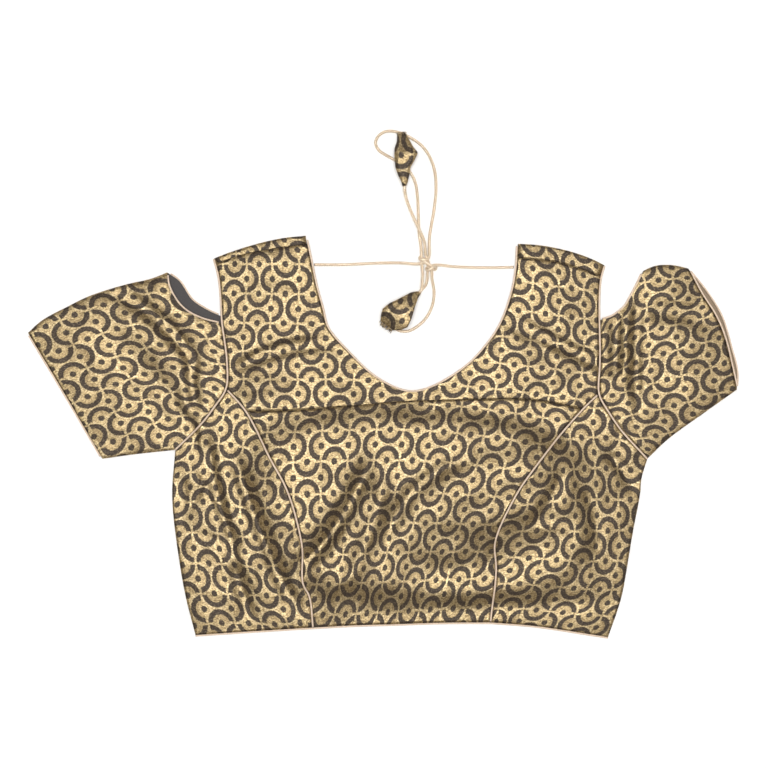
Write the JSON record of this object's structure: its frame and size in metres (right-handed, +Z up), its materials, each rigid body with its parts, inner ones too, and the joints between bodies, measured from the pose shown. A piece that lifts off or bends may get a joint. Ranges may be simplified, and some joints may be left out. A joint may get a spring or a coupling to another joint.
{
  "type": "crop top, a short blouse with neck ties, laid flat",
  "caption": "Cropped brocade blouse laid flat: U neck tied with tasselled cords, princess seams, piped edges and short cold-shoulder sleeves.",
  "frame": {"origin": "middle of the garment's bounding box on the surface that it lies on, measured without the neck ties", "axes": "+Z up out of the front, +Y from the hem to the neck, +X to the right of the garment as it lies, along its widest extent"},
  "size_m": [0.7117, 0.5099, 0.02],
  "materials": {
    "brocade": "gold brocade with a sheen",
    "piping": "cream-gold satin",
    "cord": "twisted cream-gold cord"
  },
  "bodies": {
    "root": {"back": "brocade", "front_yoke": "brocade", "front_centre": "brocade", "front_side_left": "brocade", "front_side_right": "brocade", "sleeve_left": "brocade", "sleeve_right": "brocade", "piping_neckline": "piping", "piping_armhole_left": "piping", "piping_armhole_right": "piping", "piping_princess_left": "piping", "piping_princess_right": "piping", "piping_hem": "piping", "piping_opening_left": "piping", "piping_opening_left_under": "piping", "piping_opening_right": "piping", "piping_opening_right_under": "piping", "piping_cuff_left": "piping", "piping_cuff_left_under": "piping", "piping_cuff_right": "piping", "piping_cuff_right_under": "piping", "tie_left": "cord", "tie_right": "cord", "loop_upper": "cord", "loop_lower": "cord", "tail_upper": "cord", "tail_lower": "cord", "knot": "cord", "tassel_upper": "brocade", "tassel_lower": "brocade"}
  },
  "joints": []
}
